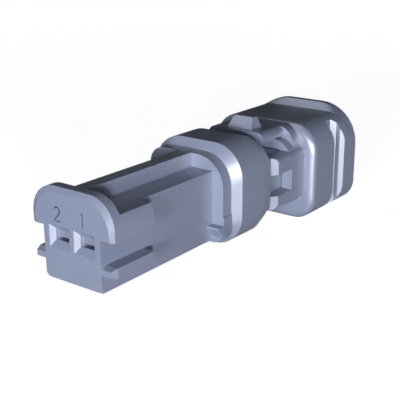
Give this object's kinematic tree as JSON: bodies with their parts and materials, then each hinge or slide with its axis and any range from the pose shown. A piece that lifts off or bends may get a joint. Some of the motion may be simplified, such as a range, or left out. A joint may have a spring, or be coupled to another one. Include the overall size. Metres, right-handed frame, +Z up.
{
  "type": "two-way sealed connector housing",
  "caption": "Inline plug housing with two keyed terminal cavities, a sealing collar and a latched rear cap for the wires.",
  "frame": {"origin": "middle of the mating face, on the axis between the two cavities", "axes": "+Y from the mating face back to the wire end, +Z up through the hood and the top finger, +X across the two cavities to the right when facing along +Y"},
  "size_m": [0.022, 0.0656, 0.0197],
  "materials": {
    "housing": "satin moulded plastic",
    "cap": "satin moulded plastic",
    "seal": "matt silicone rubber"
  },
  "bodies": {
    "root": {"plug_housing": "housing", "rear_cap": "cap", "wire_seal": "seal"}
  },
  "joints": []
}
